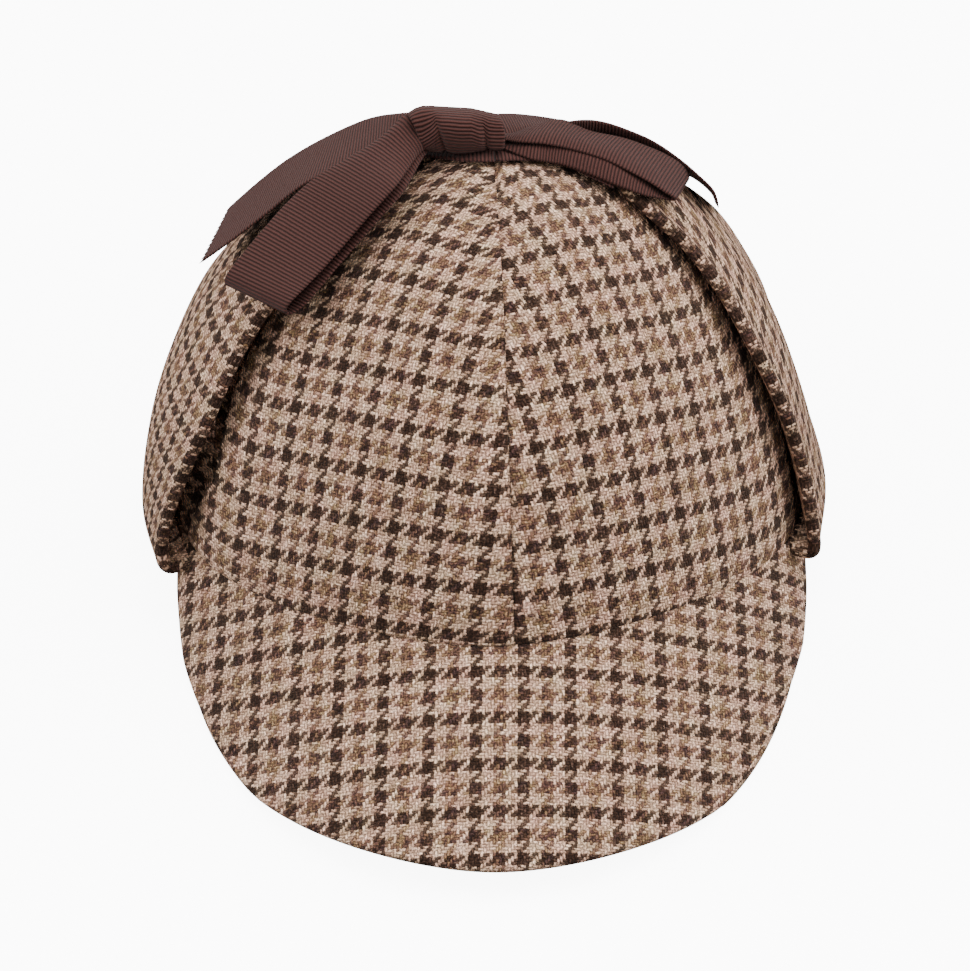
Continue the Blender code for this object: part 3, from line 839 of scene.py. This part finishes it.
def grosgrain(name):
    """A ribbed ribbon: ribs run across it, and fine warp threads run along over them; shade is
    painted into the valleys of both and light onto their crests.
    """
    w = Weaving(name)
    across, along = w.lay()
    strayed = w.math("ADD", along, w.swing(w.point(across, along), RIBBON_NOISES["stray"]))
    rib = w.math("ABSOLUTE", w.math("SINE", w.math("MULTIPLY", strayed, pi)))
    thread = w.math("ABSOLUTE", w.math("SINE", w.math("MULTIPLY", across, THREADS * pi)))
    # painted shade and highlight: the colour darkens in the valleys between the threads and the
    # ribs, and lightens at their crests
    light = w.math("ADD", w.math("MULTIPLY", thread, THREAD_PAINTED_SHADE), 1 - THREAD_PAINTED_SHADE)
    light = w.math("MULTIPLY", w.math("POWER", rib, RIB_POWER), light)
    fine_across = w.math("MULTIPLY", across, SILK_STRETCH[0])
    fine_along = w.math("MULTIPLY", along, SILK_STRETCH[1])
    shade = w.swing(w.point(fine_across, fine_along), RIBBON_NOISES["fibres"], 1.0)
    w.surface("grosgrain", w.scaled(w.blend(light, SILK_PAINTED_VALLEY_SHADE, SILK_PAINTED_CREST_LIGHT), shade),
              w.math("ADD", rib, w.math("MULTIPLY", thread, THREAD_HEIGHT)))
    return w.material


# ========== pieces
def finish_piece(piece, node):
    """Hangs a piece on the hat's root and hides the solid of the same name, which it stands in for.
    """
    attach(piece, "root")
    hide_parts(node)


def lay_sums(table, across, along):
    """The place in the cloth, in metres, from two rows of coefficients."""
    terms = [across ** i * along ** j for i, j in LAY_POWERS]
    return [sum(c * term for c, term in zip(row, terms)) * MM for row in table]


def crown_lay(point, arc, side, front):
    """The place in the cloth of a point of a gore, in yarns."""
    grain = CROWN_TURN + side * GRAIN_ANGLE
    across = side * (point.x * cos(grain) + front * point.y * sin(grain)) / UNIT
    near = min(across, STEADY_LAY)
    u, v = lay_sums(CROWN_LAY[side], near, (arc - UNIT) / UNIT)
    return side * (u + (across - near) * UNIT) / YARN, v / YARN


def peak_lay(point, fall):
    """The place in the cloth of a point of a peak, in yarns."""
    u, v = lay_sums(PEAK_LAY, point[0] / UNIT, (Vector(point).dot(fall) - PEAK_LAY_START) / UNIT)
    return u / YARN, -v / YARN


def waves(name, grid):
    """How far the cloth wanders at each point of a grid, before it is calmed at its edges."""
    depth, size, seed = WAVES[name]
    return np.array([[depth * MM * unevenness(p, size * MM, seed) for p in row] for row in grid])


def flap_hollow(azimuth, rise):
    """How far the crown falls back below the edges of the ear flaps."""
    result = 0.0
    for name, rows in HOLLOWS.items():
        rises, depths, half_angles = zip(*rows)
        away = abs((np.degrees(azimuth) - FLAPS[name][0] + 180) % 360 - 180)
        inside = float(np.interp(rise, rises, half_angles)) - away
        start = min(max(inside / HOLLOW_TURN, 0), 1)
        end = min(max((HOLLOW_WIDTH - inside) / (HOLLOW_WIDTH - HOLLOW_TURN), 0), 1)
        shape = sqrt(start * (2 - start)) * end * end * (3 - 2 * end)
        result += float(np.interp(rise, rises, depths)) * MM * shape
    return result


def rim_crease(x, height):
    """How far the crown is drawn in above its rim, most at the middle of the peaks."""
    depth = sum(deep * MM * np.exp(-(height / (high * MM)) ** 2) for deep, high in RIM_CREASES)
    middle = np.exp(-(x / RIM_CREASE_SPREAD) ** 2)
    return depth * (RIM_CREASE_SHARE + (1 - RIM_CREASE_SHARE) * middle)


def crown_relief(point, azimuth, rise, arc, seam):
    """How far the crown stands out from its even skin, by its lengths from the rim and a seam."""
    sink = SEAM_DEPTH * np.exp(-(seam / SEAM_WIDTH) ** 2)
    sink += rim_crease(point.x, arc) + flap_hollow(azimuth, rise)
    pucker = PUCKER_DEPTH * np.exp(-seam / PUCKER_REACH) * sin(arc / PUCKER_LENGTH)
    depth, size, seed = WAVES["crown"]
    wave = depth * MM * unevenness(point, size * MM, seed)
    calm = min(arc / CROWN_CALM[0], 1) * min(seam / CROWN_CALM[1], 1)
    return pucker + wave * calm - sink


def crown_panel(name, quarter, cloth):
    """One of the crown's four gores, with its edges drawn in along the seams and the rim."""
    across, up = CROWN_GRID
    first = CROWN_TURN + quarter * pi / 2
    side = 1 if quarter in (0, 1) else -1
    front = 1 if quarter in (0, 3) else -1
    places = (0.5 * (crowd_to_ends(across, CROWN_CROWDING[0]) + 1)).tolist()
    rises = (PANEL_TIP * np.linspace(0, 1, up + 1) ** CROWN_CROWDING[1]).tolist()
    points, lay = [], []
    arcs = np.zeros(across + 1)
    before = None
    for rise in rises:
        edge = crown_skin(first, rise)
        radius = sqrt((edge.x - CROWN_LEAN) ** 2 + edge.y ** 2)
        margin = -0.5 * SEAM_OVERLAP / radius
        spread = pi / 2 - 2 * margin
        azimuths = [first + margin + spread * place for place in places]
        skin = [crown_skin(azimuth, rise) for azimuth in azimuths]
        if before:
            arcs += [(now - then).length for now, then in zip(skin, before)]
        before = skin
        for place, azimuth, point, arc in zip(places, azimuths, skin, arcs):
            seam = min(place, 1 - place) * spread * radius
            out = crown_frame(azimuth, rise)[2]
            points.append(point + out * crown_relief(point, azimuth, rise, arc, seam))
            lay.append(crown_lay(point, arc, side, front))
    piece = cloth_object(name, points, grid_faces(up + 1, across + 1), lay, cloth)
    thickness = piece.modifiers.new("Thickness", "SOLIDIFY")
    thickness.thickness = CLOTH
    thickness.offset = -1
    finish_piece(piece, name)
    return piece


def peak_fall(front):
    """The direction down a peak's slope."""
    return Vector((0, front * cos(PEAK_DROOP), -sin(PEAK_DROOP)))


def peak_point(x, share, front):
    """A point of a peak's upper side: share is 0 at the rim and 1 at its free edge."""
    along = min(abs(x) / CROWN_HALF_WIDTH, 1) ** RIM_ROUNDNESS
    rim = front * CROWN_HALF_LENGTH * (1 - along) ** (1 / RIM_ROUNDNESS)
    corner = min(abs(x) / PEAK_HALF_WIDTH, 1) ** PEAK_CORNER
    depth = PEAK_DEPTH * (1 - corner) ** (1 / PEAK_BLUNTNESS)
    depth *= 1 + PEAK_SKEW * x / PEAK_HALF_WIDTH
    return Vector((x, rim, rim_height(x) - PIECE_GAP)) + peak_fall(front) * (depth * share)


def peak(name, front, cloth):
    """A peak of two layers sewn together and turned, its free edge rounded."""
    across, out = PEAK_GRID
    at_ends, at_edge = PEAK_CROWDING
    shares = 1 - (1 + PEAK_UNDER) * (1 - np.linspace(0, 1, out + 1)) ** at_edge
    turns = 0.5 * pi * crowd_to_ends(across, at_ends)
    xs = (PEAK_HALF_WIDTH * PEAK_END * np.sin(turns)).tolist()
    upper = np.array([[peak_point(-front * x, share, front) for x in xs] for share in shares])
    normal = normals_of(upper)
    if normal[0, across // 2, 2] < 0:
        normal = -normal
    middle = upper - 0.5 * PEAK_THICKNESS * normal
    fall = peak_fall(front)
    lay = np.array([[peak_lay(point, fall) for point in row] for row in upper])
    calm = np.clip(shares / PEAK_CALM, 0, 1)[:, None]
    middle += normal * (waves("peak", upper) * calm)[..., None]
    middle[..., 2] = np.maximum(middle[..., 2], 0.5 * PEAK_THICKNESS)  # it rests on the floor
    piece = pillow(name, middle, PEAK_THICKNESS, lay, cloth,
                   ("last_row", "first_column", "last_column"))
    finish_piece(piece, name)
    return piece


def fold_point(name, middle_azimuth, section, share, flared, turn):
    """A point of a flap's fold: turn is 0 at the rim and half a turn where the flap rises."""
    rise, stand_off, flare, half_angle = section
    azimuth = radians(middle_azimuth + half_angle * share)
    fold_radius = 0.5 * ((stand_off + flare * flared) * MM - FOLD_START)
    outward = Vector((sin(azimuth), -cos(azimuth), 0))
    distance = FOLD_START + fold_radius * (1 - cos(turn))
    drop = FOLD_DEPTHS[name] * fold_radius
    if turn < 0.5 * pi:
        distance -= (FOLD_START + FOLD_TUCK) * cos(turn)
    if turn > 0.5 * pi:
        drop *= sin(turn)
    return crown_skin(azimuth, rise) + outward * distance + Vector((0, 0, FOLD_RISE - drop))


def flap(name, middle_azimuth, sections, cloth):
    """An ear flap: a fold at the rim, then up along the crown to a rounded tip."""
    columns, steps = FLAP_GRID
    shares = crowd_to_ends(columns, FLAP_CROWDING).tolist()
    front_edge = 1 if middle_azimuth < 0 else -1  # the share at the flap's front edge
    flares = [abs(share) ** FLARE_POWER * (1 if front_edge * share > 0 else BACK_FLARE)
              for share in shares]
    rows = []
    for f in range(FLAP_FOLD_STEPS):
        turn = pi * f / FLAP_FOLD_STEPS
        rows.append([fold_point(name, middle_azimuth, sections[0], share, flared, turn)
                     for share, flared in zip(shares, flares)])
    for rise, stand_off, flare, half_angle in smooth_curve(sections, steps)[1:]:
        rows.append([
            over_crown(radians(middle_azimuth + half_angle * share), rise,
                       (stand_off + flare * flared) * MM)
            for share, flared in zip(shares, flares)
        ])
    middle = np.array(rows)
    along, across = lengths(middle, 0), lengths(middle, 1)
    edge = -1 if front_edge == 1 else 0
    centre = len(shares) // 2
    u = across - across[:, edge][:, None]  # a dark stripe follows the front edge
    v = np.broadcast_to(along[:, centre:centre + 1], u.shape)
    lay = np.stack([u / YARN, v / YARN], axis=2)
    calm = np.minimum(along / FLAP_CALM, 1)
    middle += normals_of(middle) * (waves("flap", middle) * calm)[..., None]
    piece = pillow(name, middle, FLAP_THICKNESS, lay, cloth,
                   ("first_row", "last_row", "first_column", "last_column"))
    finish_piece(piece, name)
    return piece


def ribbon_piece(name, middle, cloth, pinked):
    """A stretch of ribbon around a grid of middle points, its last row cut in teeth if pinked."""
    rows, columns = middle.shape[:2]
    places = np.linspace(-1, 1, columns)
    if pinked:
        onward = middle[-1] - middle[-2]
        onward /= np.linalg.norm(onward, axis=1, keepdims=True)
        tooth = np.abs((places * TEETH) % 2 - 1) * TOOTH
        middle[-1] += onward * tooth[:, None]
    along = lengths(middle, 0)
    v = np.broadcast_to(along[:, columns // 2:columns // 2 + 1], along.shape)
    u = np.broadcast_to(0.5 * RIBBON_WIDTH * places, along.shape)
    lay = np.stack([u / RIB, v / RIB], axis=2)
    piece = pillow(name, middle, RIBBON_THICKNESS, lay, cloth,
                   ("last_row", "first_row", "first_column", "last_column"))
    finish_piece(piece, name)
    return piece


def tie(name, route, cloth):
    """The ribbon from the tip of a flap up to the knot, laid over the crown."""
    across, steps = TIE_GRID
    places = np.linspace(-1, 1, across + 1).tolist()
    rows = []
    inwards = -1 if name == "right_tie" else 1
    for azimuth, rise, lift, width in smooth_curve(route, steps):
        around = crown_frame(radians(azimuth), rise)[0]
        middle = over_crown(radians(azimuth), rise, lift * MM)
        half = 0.5 * RIBBON_WIDTH * width
        rows.append([middle + around * half * place for place in places])
    under_knot = Vector((inwards * TIE_OVERLAP, 0, TIE_END_RISE))
    rows.insert(0, [point + under_knot for point in rows[0]])
    return ribbon_piece(name, np.array(rows), cloth, False)


def bow_part(name, stations, cloth):
    """A loop or a tail of the bow, from its two edges."""
    across, steps = BOW_GRID
    places = np.linspace(-1, 1, across + 1).tolist()
    rows = []
    for station in smooth_curve(stations, steps):
        far, near, arch = Vector(station[0:3]) * MM, Vector(station[3:6]) * MM, station[6] * MM
        side = (near - far).normalized()
        up = (Vector((0, 0, 1)) - side * side.z).normalized()
        rows.append([
            far.lerp(near, 0.5 * (place + 1)) + up * (arch * (1 - place ** ARCH_POWER))
            for place in places
        ])
    if name.endswith("loop"):
        rows.append([end.lerp(start, LOOP_CLOSING) for start, end in zip(rows[0], rows[-1])])
    return ribbon_piece(name, np.array(rows), cloth, name.endswith("tail"))


def share_between(value, start, end):
    """How far a value has come from start to end, from 0 to 1."""
    return min(max((value - start) / (end - start), 0), 1)


def knot(cloth):
    """The knot: ribbon wrapped over the roots of the bow, gathered so that its ends hang."""
    across, steps = KNOT_GRID
    wrap = smooth_curve(KNOT_WRAP, steps)
    xs, at_crest, at_front = zip(*KNOT_DROOP)
    puff_x, puff_reach, puff_height = KNOT_PUFF
    rows = []
    for index, (y, z, left, right) in enumerate(wrap):
        share = index / (len(wrap) - 1)
        front = share_between(share, *KNOT_FRONT)
        front = front * front * (3 - 2 * front)
        down = share_between(share, *KNOT_DOWN)
        high = share_between(z, KNOT_BASE, KNOT_BASE + KNOT_HANG)
        row = []
        for x in np.linspace(left, right, across + 1).tolist():
            droop = (1 - front) * np.interp(x, xs, at_crest) + front * np.interp(x, xs, at_front)
            back = KNOT_SAG * droop - puff_height * np.exp(-((x - puff_x) / puff_reach) ** 2)
            for upper, lower in KNOT_CREASES:
                away = x - upper - (lower - upper) * down
                back += KNOT_CREASE_DEPTH * np.exp(-(away / KNOT_CREASE_WIDTH) ** 2)
            row.append((x, y + front * back, z - droop * high))
        ends = []
        for end, inwards in ((Vector(row[0]), 1), (Vector(row[-1]), -1)):
            middle = Vector((end.x + inwards * KNOT_END_DEPTH, *KNOT_MIDDLE))
            ends.append([tuple(end.lerp(middle, share)) for share in KNOT_END_SHARES])
        rows.append([*reversed(ends[0]), *row, *ends[1]])
    return ribbon_piece("bow_knot", np.array(rows) * MM, cloth, False)


# ========== the studio
def camera():
    """The camera at the photograph's viewing angle."""
    data = bpy.data.cameras.new("camera")
    data.sensor_width = SENSOR_WIDTH
    data.lens = CAMERA_LENS
    result = bpy.data.objects.new("camera", data)
    bpy.context.scene.collection.objects.link(result)
    back = Vector((sin(CAMERA_AZIMUTH) * cos(CAMERA_ELEVATION),
                   -cos(CAMERA_AZIMUTH) * cos(CAMERA_ELEVATION), sin(CAMERA_ELEVATION)))
    right = Vector((cos(CAMERA_AZIMUTH), sin(CAMERA_AZIMUTH), 0))
    up = back.cross(right)
    x_axis = right * cos(CAMERA_ROLL) + up * sin(CAMERA_ROLL)
    y_axis = up * cos(CAMERA_ROLL) - right * sin(CAMERA_ROLL)
    pose = Matrix((x_axis, y_axis, back)).transposed().to_4x4()
    pose.translation = Vector(CAMERA_TARGET) + back * CAMERA_DISTANCE
    result.matrix_world = pose
    bpy.context.scene.camera = result


def softbox(name, place, size, power):
    """A large square lamp that faces the hat."""
    data = bpy.data.lights.new(name, "AREA")
    data.shape = "SQUARE"
    data.size = size
    data.energy = power
    result = bpy.data.objects.new(name, data)
    bpy.context.scene.collection.objects.link(result)
    result.location = place
    aim = LAMP_AIM - result.location
    result.rotation_euler = aim.to_track_quat("-Z", "Y").to_euler()


def ground(name, height, colour, glow):
    """A large level square of plain matt paint, which may glow."""
    mesh = bpy.data.meshes.new(name)
    reach = FLOOR_REACH
    mesh.from_pydata([(-reach, -reach, height), (reach, -reach, height), (reach, reach, height),
                      (-reach, reach, height)], [], [(0, 1, 2, 3)])
    paint = bpy.data.materials.new(name)
    paint.use_nodes = True
    shader = paint.node_tree.nodes["Principled BSDF"]
    shader.inputs["Base Color"].default_value = (*colour, 1)
    shader.inputs["Roughness"].default_value = 1.0
    shader.inputs["Specular IOR Level"].default_value = 0.0
    shader.inputs["Emission Color"].default_value = (1, 1, 1, 1)
    shader.inputs["Emission Strength"].default_value = glow
    mesh.materials.append(paint)
    result = bpy.data.objects.new(name, mesh)
    bpy.context.scene.collection.objects.link(result)
    return result


def studio():
    """A plain pale floor and soft light from above and both sides."""
    floor = ground("floor", 0, FLOOR_WHITE, FLOOR_GLOW)
    floor.visible_diffuse = False
    floor.visible_glossy = False
    ground("card", CARD_DEPTH, CARD_GREY, 0)
    for name, place, size, power in LAMPS:
        softbox(name, place, size, power)
    world = bpy.data.worlds.new("studio")
    world.use_nodes = True
    world.node_tree.nodes["Background"].inputs["Color"].default_value = (1, 1, 1, 1)
    world.node_tree.nodes["Background"].inputs["Strength"].default_value = DAYLIGHT
    bpy.context.scene.world = world


def main():
    camera()
    studio()
    wool = tweed("gun_club_tweed")
    silk = grosgrain("grosgrain")
    for quarter, name in enumerate(PANEL_NAMES):
        crown_panel(name, quarter, wool)
    peak("front_peak", -1, wool)
    peak("back_peak", 1, wool)
    for name, (middle, sections) in FLAPS.items():
        flap(name, middle, sections, wool)
    for name, route in TIES.items():
        tie(name, route, silk)
    for name, stations in BOW.items():
        bow_part(name, stations, silk)
    knot(silk)


main()
